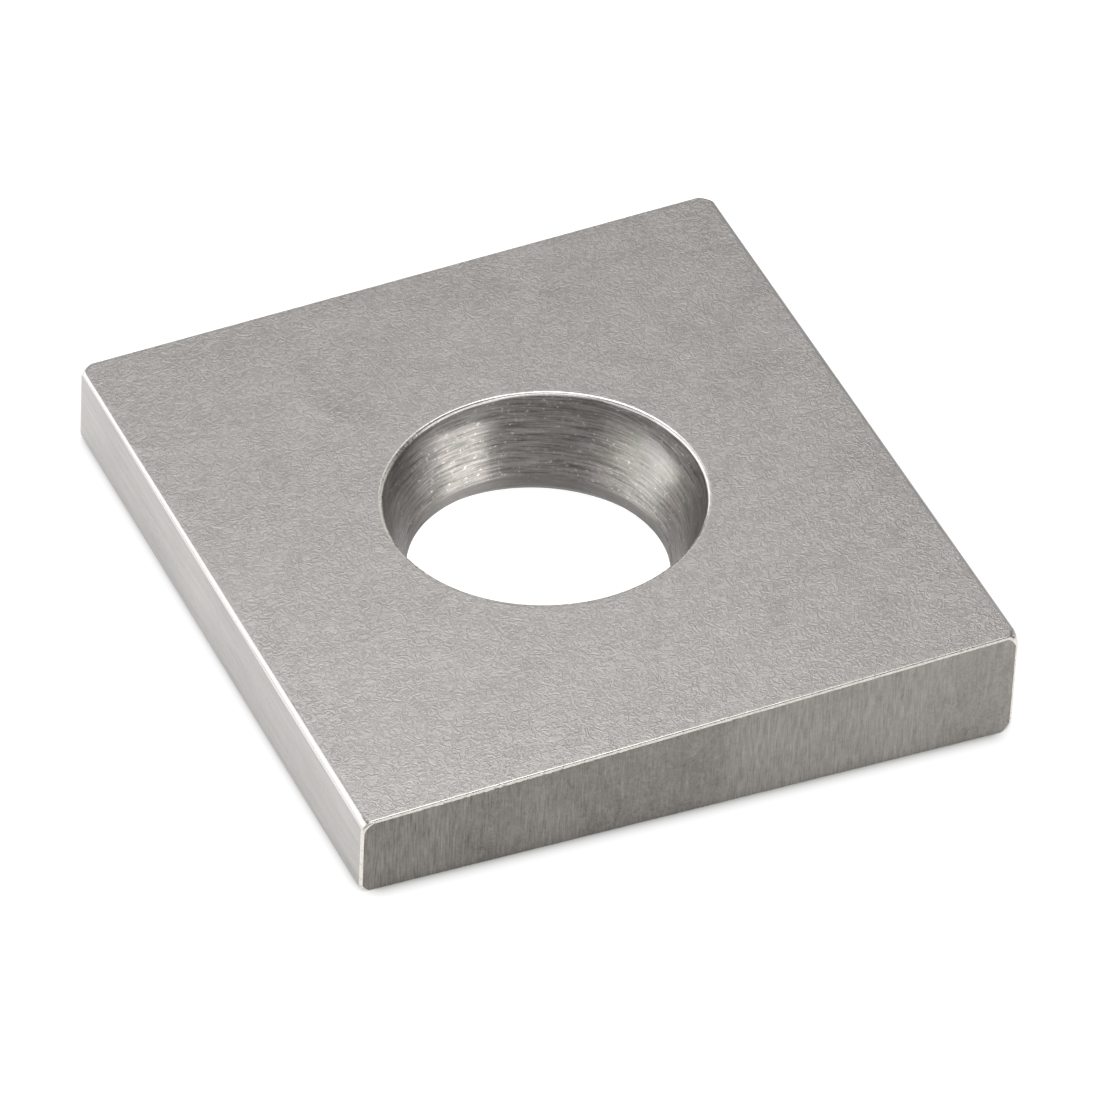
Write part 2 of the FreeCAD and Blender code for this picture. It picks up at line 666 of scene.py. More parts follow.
class Shaping(Graph):
    """The geometry tree that makes the washer's surface."""

    def __init__(self, name: str) -> None:
        """Makes an empty geometry tree of that name."""
        super().__init__(bpy.data.node_groups.new(name, "GeometryNodeTree"))
        self.inlet = self.tree.nodes.new("NodeGroupInput")
        self.outlet = self.tree.nodes.new("NodeGroupOutput")
        self.identifiers: dict[str, str] = {}
        self.size: dict[str, Signal] = {}

    def take(self, names: Iterable[str]) -> dict[str, Signal]:
        """Makes the named inputs for the sizes, and keeps them."""
        self.size = {name: self.given(name) for name in names}
        return self.size

    def given(self, name: str) -> Signal:
        """A named number input of the tree, in metres or radians."""
        item = self.tree.interface.new_socket(name=name, in_out="INPUT", socket_type="NodeSocketFloat")
        self.identifiers[name] = item.identifier
        return Signal(self, next(out for out in self.inlet.outputs if out.identifier == item.identifier))

    def result(self, name: str, value: Signal, kind: str = "NodeSocketFloat") -> None:
        """Makes a named output of the tree and links a value to it."""
        item = self.tree.interface.new_socket(name=name, in_out="OUTPUT", socket_type=kind)
        self.identifiers[name] = item.identifier
        self.feed(next(inlet for inlet in self.outlet.inputs if inlet.identifier == item.identifier), value)

    def used(
        self, other: "Shaping", feeds: dict[str, Number], outputs: tuple[str, ...]
    ) -> tuple[Signal, ...]:
        """Uses another tree as one node.

        Args:
            other: The tree that is used.
            feeds: What its named inputs get.
            outputs: The names of the outputs that are wanted.

        Returns:
            The wanted outputs.
        """
        named = {other.identifiers[name]: value for name, value in feeds.items()}
        group = self.node("GeometryNodeGroup", {"node_tree": other.tree}, named)
        found = {socket.identifier: socket for socket in group.socket.node.outputs}
        return tuple(Signal(self, found[other.identifiers[name]]) for name in outputs)

    def grid(self, columns: int, rows: int) -> tuple[Signal, Signal, Signal]:
        """A flat grid to be bent.

        Args:
            columns: How many mesh edges it has along its columns' direction.
            rows: How many mesh edges it has the other way.

        Returns:
            The grid, and each vertex's column and row, counted from nought.
        """
        sizes = {"Size X": float(columns), "Size Y": float(rows)}
        counts = {"Vertices X": columns + 1, "Vertices Y": rows + 1}
        mesh = self.node("GeometryNodeMeshGrid", {}, {**sizes, **counts}, "Mesh")
        x, y, _ = self.parts(self.node("GeometryNodeInputPosition", {}, {}))
        return mesh, x + columns / 2, y + rows / 2

    def marked(self, mesh: Signal, zone: Number) -> Signal:
        """A mesh whose faces keep the zone that they belong to."""
        feeds = {"Geometry": mesh, "Name": "zone", "Value": zone}
        settings = {"data_type": "INT", "domain": "FACE"}
        return self.node("GeometryNodeStoreNamedAttribute", settings, feeds)

    def moved(self, mesh: Signal, place: Signal) -> Signal:
        """A mesh or curve with its points put at new places."""
        return self.node("GeometryNodeSetPosition", {}, {"Geometry": mesh, "Position": place})

    def joined(self, meshes: list[Signal]) -> Signal:
        """Several meshes as one, with the vertices that meet made one."""
        both = self.node("GeometryNodeJoinGeometry", {}, {"Geometry": list(reversed(meshes))})
        return self.node("GeometryNodeMergeByDistance", {}, {"Geometry": both, "Distance": MERGE_MM * MM})

    def flipped(self, mesh: Signal) -> Signal:
        """A mesh turned inside out."""
        return self.node("GeometryNodeFlipFaces", {}, {"Mesh": mesh})

    def flat_fill(self, shell: Signal, wanted: Signal, laid: Signal, raised: Signal) -> Signal:
        """Closes one flat opening of a shell.

        Args:
            shell: The open shell.
            wanted: One on the opening's rim, nought on other rims.
            laid: The rim's points laid down in the XY plane.
            raised: The fill's points put back in the opening.

        Returns:
            The fill alone.
        """
        # An edge of the rim has one face, and every other edge has two
        sides = self.node("GeometryNodeInputMeshEdgeNeighbors", {}, {})
        rim = (sides < 1.5) * wanted
        curve = self.node("GeometryNodeMeshToCurve", {}, {"Mesh": shell, "Selection": rim})
        fill = self.node("GeometryNodeFillCurve", {}, {"Curve": self.moved(curve, laid)})
        return self.moved(fill, raised)

    def dressed(self, mesh: Signal, materials: dict[Zone, bpy.types.Material]) -> None:
        """Ends the tree in real, smooth faces with each zone's material.

        Args:
            mesh: The closed surface.
            materials: The material of each zone.
        """
        smooth = self.node("GeometryNodeSetShadeSmooth", {}, {"Geometry": mesh})
        result = self.node("GeometryNodeRealizeInstances", {}, {"Geometry": smooth})
        zone = self.node("GeometryNodeInputNamedAttribute", {"data_type": "INT"}, {"Name": "zone"})
        for number, material in sorted(materials.items()):
            chosen = abs(zone - float(number)) < 0.5
            feeds = {"Geometry": result, "Selection": chosen, "Material": material}
            result = self.node("GeometryNodeSetMaterial", {}, feeds)
        self.result("Geometry", result, "NodeSocketGeometry")


@dataclass(frozen=True)
class Steps:
    """How many mesh edges each stretch of the surface is cut into."""

    # Round the bar's section: along the top and bottom, up a side and round a rolled corner
    face: int = 440
    side: int = 32
    corner: int = 12
    # Where on the thin side's upper corner the bright ones start and end, counted from its first
    matt: int = 3
    bright: int = 10
    # Along the bar: between its ends, to a sawn edge, round it and on into the sawn face
    bar: int = 160
    end: int = 4
    edge: int = 7
    margin: int = 2
    # Round the bore and up it
    around: int = 448
    shoulder: int = 3
    chamfer: int = 4
    land: int = 3
    cone: int = 72
    rim: int = 6

    @property
    def outline(self) -> int:
        """How many there are once round the bar's section."""
        return 2 * (self.face + self.side + 2 * self.corner)

    @property
    def thin_side(self) -> int:
        """The one round the section at which the thin side's upper corner starts."""
        return 2 * self.face + 2 * self.corner + self.side

    @property
    def cone_start(self) -> int:
        """The one up the bore at which the cone starts."""
        return self.margin + self.chamfer + self.land + 3 * self.shoulder

    @property
    def cone_end(self) -> int:
        """The one up the bore at which the cone ends and the rim starts."""
        return self.cone_start + self.cone


@dataclass(frozen=True)
class Wear:
    """How the broken edges, the rim and the turned rings differ from place to place."""

    # Chips, chipped stretches and swellings for each millimetre along a broken edge
    chips_per_mm: float = 5.0
    stretches_per_mm: float = 0.16
    swells_per_mm: float = 0.3
    # How sharply the chipped stretches start
    chipped_range: tuple[float, float] = (0.38, 0.62)
    # How far apart the two ends lie in that pattern
    end_shift: float = 3.0
    # How much the edge's width swells on the flat face and on the sawn face
    flat_swell: float = 0.25
    sawn_swell: float = 0.2
    # The width on the sawn face as a share of the other
    sawn_width: float = 0.8
    # How deep the chips are in the chipped stretches, as a share of the width, and outside them
    chip_depth: float = 2.0
    least_chips: float = 0.2
    # Beads, beaded stretches and waves for each radian along the rim
    beads_per_radian: float = 34.0
    stretches_per_radian: float = 1.7
    waves_per_radian: float = 3.0
    # How sharply the beaded stretches start
    beaded_range: tuple[float, float] = (0.45, 0.62)
    # The way to the rim's smooth side, how far that way it starts, and how much the rim's rounding varies
    smooth_way: tuple[float, float] = (0.8, 0.6)
    smooth_from: float = 0.15
    rim_swell: float = 0.4
    # Mesh rows from one turned ring to the next, and how far the rings stray, in radians
    ring_rows: float = 6.0
    ring_sway: float = 9.0
    # How often they stray for each radian, and for each row
    sways_per_radian: float = 1.6
    sway_rows: float = 0.02


@dataclass
class WedgePlate:
    """The washer itself: a rolled wedge bar sawn to length, with a countersunk bore.

    Lengths are in millimetres and angles in degrees.
    """

    length_along_taper: float = 46.0
    width_across_taper: float = 50.0
    thin_edge_height: float = 5.8
    taper_angle: float = 3.0

    # How round the bar's rolled corners are along its middle, and at its ends
    thick_lower_roll: float = 0.8
    thick_upper_roll: float = 0.34
    thin_lower_roll: float = 0.56
    thin_upper_front_roll: float = 0.64
    thin_upper_back_roll: float = 0.32
    front_end_roll: float = 0.84
    far_end_roll: float = 1.0
    low_thin_end_roll: float = 0.66

    # How round the sawn faces' edges are: level ones, upright ones and the extra at their corners
    sawn_edge_rounding: float = 0.18
    thin_upright_rounding: float = 0.21
    thick_upright_rounding: float = 0.31
    far_upright_rounding: float = 0.68
    corner_widening: float = 0.08

    bore_diameter: float = 17.5
    land_height: float = 0.8
    countersink_angle: float = 42.0
    underside_chamfer: float = 1.0
    rim_rounding: float = 0.28
    shoulder_rounding: float = 0.12
    ring_depth: float = 0.0016

    # How far in from an end the rolled corners start to grow rounder
    end_margin: float = 0.9
    # How far the flat fills stay off the rounded edges
    margin: float = 0.6

    steps: Steps = Steps()
    wear: Wear = Wear()
    # The tree that walks round the bar's section, made by build
    section_walk: Optional[Shaping] = field(default=None, init=False)
    finishes: dict[Zone, Any] = field(
        default_factory=lambda: {
            Zone.BLASTED: BlastedFace(),
            Zone.SAWN: SawnFace(),
            Zone.ROLLED: RolledSide(),
            Zone.TURNED: TurnedBore(),
            Zone.BROKEN: BrokenEdge(),
            Zone.RUBBED: RubbedCorner(),
        }
    )

    def values(self) -> dict[str, float]:
        """The sizes by name, in metres and radians."""
        angles = ("taper_angle", "countersink_angle")
        sizes = {entry.name: getattr(self, entry.name) for entry in fields(self)}
        numbers = {name: value for name, value in sizes.items() if isinstance(value, float)}
        return {
            name: math.radians(value) if name in angles else value * MM
            for name, value in numbers.items()
        }

    @staticmethod
    def between(first: Number, second: Number, share: Signal) -> Signal:
        """A number that goes from the first to the second as the share goes from nought to one."""
        return (second - first) * share + first

    def section_tree(self) -> Shaping:
        """The bar's section, as a tree that walks round it from the underside's thin end.

        Returns:
            A tree from the sizes, the step and the place along the bar to X, Z and the heading there.
        """
        tree = Shaping("bar_section")
        size = tree.take(self.values())
        step, y = tree.given("step"), tree.given("y")
        quarter = math.pi / 2
        taper = size["taper_angle"]
        length = size["length_along_taper"]
        thin = size["thin_edge_height"]
        thick = thin + length * tree.tangent(taper)
        half = size["width_across_taper"] * 0.5
        ends = tree.eased(abs(y), half - size["end_margin"], half)
        along_bar = tree.clamped(y / half * 0.5 + 0.5)
        end_roll = self.between(size["front_end_roll"], size["far_end_roll"], along_bar)
        thin_middle = self.between(size["thin_upper_front_roll"], size["thin_upper_back_roll"], along_bar)
        thin_upper = self.between(thin_middle, end_roll, ends)
        thick_upper = self.between(size["thick_upper_roll"], end_roll, ends)
        thin_lower = self.between(size["thin_lower_roll"], size["low_thin_end_roll"], ends)
        thick_lower = self.between(size["thick_lower_roll"], end_roll, ends)
        steep = thick_upper * tree.tangent((quarter + taper) * 0.5)
        blunt = thin_upper * tree.tangent((quarter - taper) * 0.5)
        slope = length / tree.cosine(taper) - steep - blunt
        stretches = [
            Run(length - thin_lower - thick_lower, self.steps.face),
            Bend(thick_lower, quarter, self.steps.corner),
            Run(thick - thick_lower - steep, self.steps.side),
            Bend(thick_upper, quarter + taper, self.steps.corner),
            Run(slope, self.steps.face),
            Bend(thin_upper, quarter - taper, self.steps.corner),
            Run(thin - blunt - thin_lower, self.steps.side),
            Bend(thin_lower, quarter, self.steps.corner),
        ]
        traced = Line((thin_lower - length * 0.5, 0.0), 0.0, stretches).trace(tree, step)
        for name, value in zip(("x", "z", "heading"), traced):
            tree.result(name, value)
        return tree

    def section(self, tree: Shaping, step: Signal, y: Number) -> tuple[Signal, ...]:
        """Walks round the bar's section.

        Args:
            tree: The geometry tree.
            step: How many mesh edges have been walked.
            y: Where along the bar the point lies.

        Returns:
            X, Z and the heading.
        """
        return tree.used(self.section_walk, {**tree.size, "step": step, "y": y}, ("x", "z", "heading"))

    def slope_height(self, tree: Shaping, x: Signal) -> Signal:
        """Height of the sloping face.

        Args:
            tree: The geometry tree.
            x: The place along the taper.

        Returns:
            The height above the underside.
        """
        run = x + tree.size["length_along_taper"] * 0.5
        return tree.size["thin_edge_height"] + run * tree.tangent(tree.size["taper_angle"])

    @staticmethod
    def within(step: Signal, first: float, count: float) -> Signal:
        """One on so many steps from the first one on, nought on the others."""
        return (step > first) * (step < first + count)

    def sides(self, column: Signal) -> Signal:
        """One on the columns of the thin and thick sides, nought on the flat faces' columns."""
        side = float(2 * self.steps.corner + self.steps.side)
        thick, thin = float(self.steps.face), float(self.steps.thin_side)
        return self.within(column, thick, side) + self.within(column, thin, side)

    def rolled_zone(self, step: Signal) -> Signal:
        """The rolled sides' zone number. The thin side's upper corner is matt at first and then bright.

        Args:
            step: How many mesh edges have been walked round the section.

        Returns:
            The number.
        """
        start = float(self.steps.thin_side)
        matt = self.within(step, start, float(self.steps.matt))
        bright = self.within(step, start, float(self.steps.bright))
        return self.between(float(Zone.ROLLED), float(Zone.RUBBED), bright) * (1 - matt)

    def edge_widths(self, tree: Shaping, column: Signal, side: float) -> tuple[Signal, Signal]:
        """How far a sawn face's broken edge reaches, with its chips and swellings.

        Args:
            tree: The geometry tree.
            column: How many mesh edges have been walked round the section.
            side: Which end it is, -1 or 1 along Y.

        Returns:
            Its width on the flat faces and rolled sides, and its width on the sawn face.
        """
        size, wear = tree.size, self.wear
        x, z, heading = self.section(tree, column, size["width_across_taper"] * 0.5 * side)
        spot = tree.vector(x / MM, side * wear.end_shift, z / MM)
        upright = tree.sine(heading)
        thick_side, thin_side = tree.clamped(upright), tree.clamped(-upright)
        flat = 1 - abs(upright)
        above = tree.clamped(-tree.cosine(heading))
        corner = abs(tree.sine(heading * 2.0))
        chips = tree.noise(spot, wear.chips_per_mm, detail=3.0, distortion=0.5)
        patches = tree.eased(tree.noise(spot, wear.stretches_per_mm, detail=1.0), *wear.chipped_range)
        waves = tree.noise(spot, wear.swells_per_mm) - 0.5
        uprights = (size["thin_upright_rounding"], size["thick_upright_rounding"])
        thin_edge, thick_edge = uprights if side < 0 else [size["far_upright_rounding"]] * 2
        even = flat * size["sawn_edge_rounding"] + thin_side * thin_edge + thick_side * thick_edge
        chipped = wear.least_chips + patches * (1 - wear.least_chips)
        ragged = flat * above * chipped if side < 0 else 0.0
        bitten = ragged * (chips - 0.5) * wear.chip_depth
        worn = even * (wear.sawn_width + waves * wear.sawn_swell + bitten)
        return even * (waves * wear.flat_swell + 1), worn + corner * size["corner_widening"]

    def sawn_end(self, tree: Shaping, side: float) -> Signal:
        """One sawn face's edge all round: flat margin, broken edge, flat margin.

        Args:
            tree: The geometry tree.
            side: Which end it is, -1 or 1 along Y.

        Returns:
            The ring of faces.
        """
        size, steps = tree.size, self.steps
        margin, end_margin = size["margin"], size["end_margin"]
        edge_start, sawn_start = float(steps.end), float(steps.end + steps.edge)
        mesh, column, row = tree.grid(steps.outline, steps.end + steps.edge + steps.margin)
        drawn_back, cut_down = self.edge_widths(tree, column, side)
        flat_share = tree.clamped(row / edge_start)
        turn = tree.clamped((row - edge_start) / steps.edge) * (math.pi / 2)
        sawn_share = tree.clamped((row - sawn_start) / steps.margin)
        outward = (end_margin - drawn_back) * flat_share + drawn_back * tree.sine(turn)
        inset = cut_down * (1 - tree.cosine(turn)) + (margin - cut_down) * sawn_share
        y = (size["width_across_taper"] * 0.5 - end_margin + outward) * side
        x, z, heading = self.section(tree, column, y)
        x = x - tree.sine(heading) * inset
        z = z + tree.cosine(heading) * inset
        broken = (row > edge_start) * (row < sawn_start)
        rolled = self.sides(column) * (row < edge_start)
        zone = broken * float(Zone.BROKEN) + (row > sawn_start) * float(Zone.SAWN)
        zone = zone + rolled * self.rolled_zone(column)
        ring = tree.moved(tree.marked(mesh, zone), tree.vector(x, y, z))
        return ring if side < 0 else tree.flipped(ring)

    def rolled_side(self, tree: Shaping, first: int) -> Signal:
        """The thin or the thick side with its two rolled corners and a narrow strip of each flat face.

        Args:
            tree: The geometry tree.
            first: The outline's step at which its lower or upper corner starts.

        Returns:
            The strip of faces.
        """
        size, steps = tree.size, self.steps
        columns = 2 * steps.corner + steps.side + 2
        mesh, column, row = tree.grid(columns, steps.bar)
        step = column + float(first - 1)
        y = (size["width_across_taper"] - size["end_margin"] * 2) * (row / steps.bar - 0.5)
        zone = (column > 1.0) * (column < columns - 1.0) * self.rolled_zone(step)
        # Past the outline's end, the walk starts again
        step = step - (step > steps.outline + 0.5) * float(steps.outline)
        x, z, _ = self.section(tree, step, y)
        return tree.flipped(tree.moved(tree.marked(mesh, zone), tree.vector(x, y, z)))

    def rim_edge(self, tree: Shaping, east: Signal, north: Signal) -> tuple[Signal, Signal]:
        """How the countersink's rim is rounded: beaded on one side and smooth on the other.

        Args:
            tree: The geometry tree.
            east: The way out from the axis along X.
            north: The way out from the axis along Y.

        Returns:
            The rounding's radius, and one where the rim is smooth.
        """
        wear = self.wear
        spot = tree.vector(east, north, 0.0)
        patches = tree.eased(tree.noise(spot, wear.stretches_per_radian, detail=1.0), *wear.beaded_range)
        beads = (tree.noise(spot, wear.beads_per_radian, distortion=0.4) - 0.5) * patches
        waves = tree.noise(spot, wear.waves_per_radian) - 0.5
        smooth_side = east * wear.smooth_way[0] + north * wear.smooth_way[1]
        beaded = 1 - tree.eased(smooth_side, 0.0, 2 * wear.smooth_from)
        rounding = tree.size["rim_rounding"] * (1 + (beads * beaded + waves) * wear.rim_swell)
        return rounding, smooth_side > wear.smooth_from

    def bore_line(self, tree: Shaping, lean: Signal, rounding: Signal) -> Line:
        """The bore's section, from the underside's margin to the sloping face's.

        Args:
            tree: The geometry tree.
            lean: How steeply the sloping face rises outwards there, in radians.
            rounding: The rim's radius.

        Returns:
            The line, as distance from the axis and height.
        """
        size, steps = tree.size, self.steps
        margin, chamfer, land = size["margin"], size["underside_chamfer"], size["land_height"]
        soft = size["shoulder_rounding"]
        radius = size["bore_diameter"] * 0.5
        half_angle = size["countersink_angle"] * 0.5
        shoulder = soft * math.tan(math.pi / 8)
        knee = soft * tree.tangent(half_angle * 0.5)
        middle = self.slope_height(tree, lean * 0.0)
        rise, fall = 1 / tree.tangent(half_angle), tree.tangent(lean)
        spread = (middle - chamfer - land + radius * fall) / (rise - fall)
        turn = math.pi / 2 - half_angle - lean
        reach = rounding * tree.tangent(turn * 0.5)
        return Line((radius + chamfer + margin, 0.0), math.pi, [
            Run(margin - shoulder, steps.margin),
            Bend(soft, math.pi / 4, steps.shoulder, Way.RIGHT),
            Run(chamfer * math.sqrt(2) - shoulder * 2, steps.chamfer),
            Bend(soft, math.pi / 4, steps.shoulder, Way.RIGHT),
            Run(land - shoulder - knee, steps.land),
            Bend(soft, half_angle, steps.shoulder, Way.RIGHT),
            Run(spread / tree.sine(half_angle) - knee - reach, steps.cone),
            Bend(rounding, turn, steps.rim, Way.RIGHT),
            Run(margin - reach, steps.margin),
        ])

    def bore(self, tree: Shaping) -> Signal:
        """The bore's whole wall, from the underside's rim to the sloping face's.

        Args:
            tree: The geometry tree.

        Returns:
            The tube of faces.
        """
        size, steps, wear = tree.size, self.steps, self.wear
        mesh, column, row = tree.grid(steps.around, steps.cone_end + steps.rim + steps.margin)
        around = column * (FULL_TURN / steps.around)
        east, north = tree.cosine(around), tree.sine(around)
        lean = tree.maths("ARCTANGENT", east * tree.tangent(size["taper_angle"]))
        rounding, smooth = self.rim_edge(tree, east, north)
        off_axis, z, _ = self.bore_line(tree, lean, rounding).trace(tree, row)
        cone_row = row - float(steps.cone_start)
        fade_in = tree.clamped(cone_row / wear.ring_rows)
        fade = fade_in * tree.clamped((steps.cone - cone_row) / wear.ring_rows)
        sway = tree.noise(tree.vector(east, north, cone_row * wear.sway_rows), wear.sways_per_radian)
        ripple = tree.sine(cone_row * (FULL_TURN / wear.ring_rows) + sway * wear.ring_sway)
        ripple = ripple * size["ring_depth"] * fade
        half_angle = size["countersink_angle"] * 0.5
        off_axis = off_axis - ripple * tree.cosine(half_angle)
        z = z + ripple * tree.sine(half_angle)
        turned = (row > steps.margin) * (row < float(steps.cone_end))
        broken = self.within(row, float(steps.cone_end), float(steps.rim))
        rim_zone = self.between(float(Zone.BROKEN), float(Zone.RUBBED), smooth)
        zone = turned * float(Zone.TURNED) + broken * rim_zone
        place = tree.vector(off_axis * east, off_axis * north, z)
        return tree.flipped(tree.moved(tree.marked(mesh, zone), place))

    def closed(self, tree: Shaping, shell: Signal) -> Signal:
        """Closes the shell with its four flat faces.

        Args:
            tree: The geometry tree.
            shell: The edges, sides and bore, joined.

        Returns:
            The closed surface.
        """
        x, y, z = tree.parts(tree.node("GeometryNodeInputPosition", {}, {}))
        half = tree.size["width_across_taper"] * 0.5
        near = NEAR_MM * MM
        inner = abs(y) < half - INNER_MM * MM
        slope = self.slope_height(tree, x)
        laid = tree.vector(x, y, 0.0)
        upright = tree.vector(x, z, 0.0)
        top = tree.flat_fill(shell, (abs(z - slope) < near) * inner, laid, tree.vector(x, y, slope))
        bottom = tree.flat_fill(shell, (abs(z) < near) * inner, laid, laid)
        front = tree.flat_fill(shell, y < near - half, upright, tree.vector(x, -half, y))
        back = tree.flat_fill(shell, y > half - near, upright, tree.vector(x, half, y))
        ends = [tree.marked(front, int(Zone.SAWN)), tree.flipped(tree.marked(back, int(Zone.SAWN)))]
        faces = [tree.marked(top, int(Zone.BLASTED)), tree.flipped(tree.marked(bottom, int(Zone.BLASTED)))]
        return tree.joined([shell, *faces, *ends])

    def build(self) -> bpy.types.Object:
        """Makes the washer as one plain mesh with its finishes.

        Returns:
            The finished piece.
        """
        self.section_walk = self.section_tree()
        tree = Shaping("wedge_plate_shape")
        values = self.values()
        tree.take(values)
        strips = [
            self.sawn_end(tree, -1.0),
            self.sawn_end(tree, 1.0),
            self.rolled_side(tree, self.steps.face),
            self.rolled_side(tree, self.steps.thin_side),
            self.bore(tree),
        ]
        surface = self.closed(tree, tree.joined(strips))
        tree.dressed(surface, {zone: finish.material() for zone, finish in self.finishes.items()})
        carrier = bpy.data.objects.new("wedge_plate_carrier", bpy.data.meshes.new("wedge_plate_carrier"))
        bpy.context.scene.collection.objects.link(carrier)
        modifier = carrier.modifiers.new("shape", "NODES")
        modifier.node_group = tree.tree
        for name, value in values.items():
            modifier[tree.identifiers[name]] = value
        graph = bpy.context.evaluated_depsgraph_get()
        mesh = bpy.data.meshes.new_from_object(carrier.evaluated_get(graph))
        bpy.data.objects.remove(carrier)
        # The grids bring an empty first slot that no face uses
        mesh.materials.pop(index=0)
        mesh.name = "wedge_plate"
        piece = bpy.data.objects.new("wedge_plate", mesh)
        bpy.context.scene.collection.objects.link(piece)
        return piece


# Studio


class LightShape(Enum):
    """The outline of a light's face."""

    SQUARE = "RECTANGLE"
    OVAL = "ELLIPSE"


@dataclass(frozen=True)
class Softbox:
    """A flat soft light that faces the washer.

    Attributes:
        name: What it is called.
        azimuth: Its side, in degrees anticlockwise from +X seen from above.
        elevation: How high it is, in degrees.
        distance: How far off it is, in metres.
        width: How wide it is, in metres.
        height: How tall it is, in metres.
        glow: How bright its face is, where 1 is white.
        shape: The outline of its face.
        spread: The angle through which its light opens, in degrees.
        aim_height: Height of the point that it faces, in metres.
    """

    name: str
    azimuth: float
    elevation: float
    distance: float = 1.0
    width: float = 1.0
    height: float = 1.0
    glow: float = 1.0
    shape: LightShape = LightShape.SQUARE
    spread: float = 180.0
    aim_height: float = 0.0

    @property
    def area(self) -> float:
        """Area of its face, in square metres."""
        return self.width * self.height * (1.0 if self.shape is LightShape.SQUARE else math.pi / 4)

    def build(self) -> None:
        """Hangs the light."""
        light = bpy.data.lights.new(self.name, "AREA")
        light.shape = self.shape.value
        light.size = self.width
        light.size_y = self.height
        light.spread = math.radians(self.spread)
        light.energy = self.glow * math.pi * self.area
        lamp = bpy.data.objects.new(self.name, light)
        side, lift = math.radians(self.azimuth), math.radians(self.elevation)
        level = Vector((math.cos(side), math.sin(side), 0.0)) * math.cos(lift)
        way = level + Vector((0.0, 0.0, math.sin(lift)))
        lamp.location = way * self.distance + Vector((0.0, 0.0, self.aim_height))
        lamp.rotation_euler = way.to_track_quat("Z", "Y").to_euler()
        lamp.visible_camera = False
        bpy.context.scene.collection.objects.link(lamp)


@dataclass(frozen=True)
class BoreBeam(Softbox):
    """A narrow beam that shines into the bore and touches little else."""

    distance: float = 0.06
    width: float = 0.017
    height: float = 0.007
    shape: LightShape = LightShape.OVAL
    spread: float = 2.0
    aim_height: float = 0.007


@dataclass(frozen=True)
class PaleFloor:
    """The plain white light table. Close to the plate that stands on it, its glow is darkened by a painted
    contact shadow.

    Attributes:
        size: Its side, in metres.
        tone: Its colour.
        glow: How bright it glows.
        plate_length: Length of the plate that stands on it, in millimetres.
        plate_width: Width of that plate.
        corner: How round the plate's footprint is at its corners.
        bore: Diameter of the plate's opening.
        painted_shadow: How much of the glow is taken off right at the plate, as a painted contact shadow.
        painted_shadow_reach: How far out that painted shadow falls to a third, in millimetres.
    """

    size: float = 12.0
    tone: Colour = (0.36, 0.36, 0.36)
    glow: float = 0.92
    plate_length: float = WedgePlate.length_along_taper - WedgePlate.thick_lower_roll
    plate_width: float = WedgePlate.width_across_taper
    corner: float = 1.4
    bore: float = WedgePlate.bore_diameter + 2 * WedgePlate.underside_chamfer
    painted_shadow: float = 0.68
    painted_shadow_reach: float = 0.58

    def build(self) -> bpy.types.Object:
        """Makes the floor.

        Returns:
            The floor.
        """
        half = self.size / 2
        mesh = bpy.data.meshes.new("pale_floor")
        corners = [(-half, -half, 0.0), (half, -half, 0.0), (half, half, 0.0), (-half, half, 0.0)]
        mesh.from_pydata(corners, [], [(0, 1, 2, 3)])
        paint = Paint("pale_floor")
        x, y, _ = paint.parts(paint.place)
        # Painted contact shadow: the glow is darkened in a band round the plate's footprint, but not inside
        # the bore
        beyond_x = paint.maths("MAXIMUM", abs(x) - (self.plate_length / 2 - self.corner) * MM, 0.0)
        beyond_y = paint.maths("MAXIMUM", abs(y) - (self.plate_width / 2 - self.corner) * MM, 0.0)
        off_corner = paint.maths("SQRT", beyond_x * beyond_x + beyond_y * beyond_y)
        beyond = paint.maths("MAXIMUM", off_corner - self.corner * MM, 0.0)
        outside_bore = paint.maths("SQRT", x * x + y * y) > self.bore / 2 * MM
        painted_shadow = paint.maths("EXPONENT", beyond / (-self.painted_shadow_reach * MM)) * outside_bore * self.painted_shadow
        # The emission colour, with the painted contact shadow taken off
        glow = paint.blend(painted_shadow, (1.0, 1.0, 1.0), (0.0, 0.0, 0.0))
        feeds = {"Base Color": (*self.tone, 1.0), "Roughness": 0.9, "Emission Color": glow,
                 "Emission Strength": self.glow, "Specular IOR Level": 0.1}
        shader = paint.node("ShaderNodeBsdfPrincipled", {}, feeds)
        paint.node("ShaderNodeOutputMaterial", {}, {"Surface": shader})
        mesh.materials.append(paint.material)
        floor = bpy.data.objects.new("pale_floor", mesh)
        bpy.context.scene.collection.objects.link(floor)
        return floor


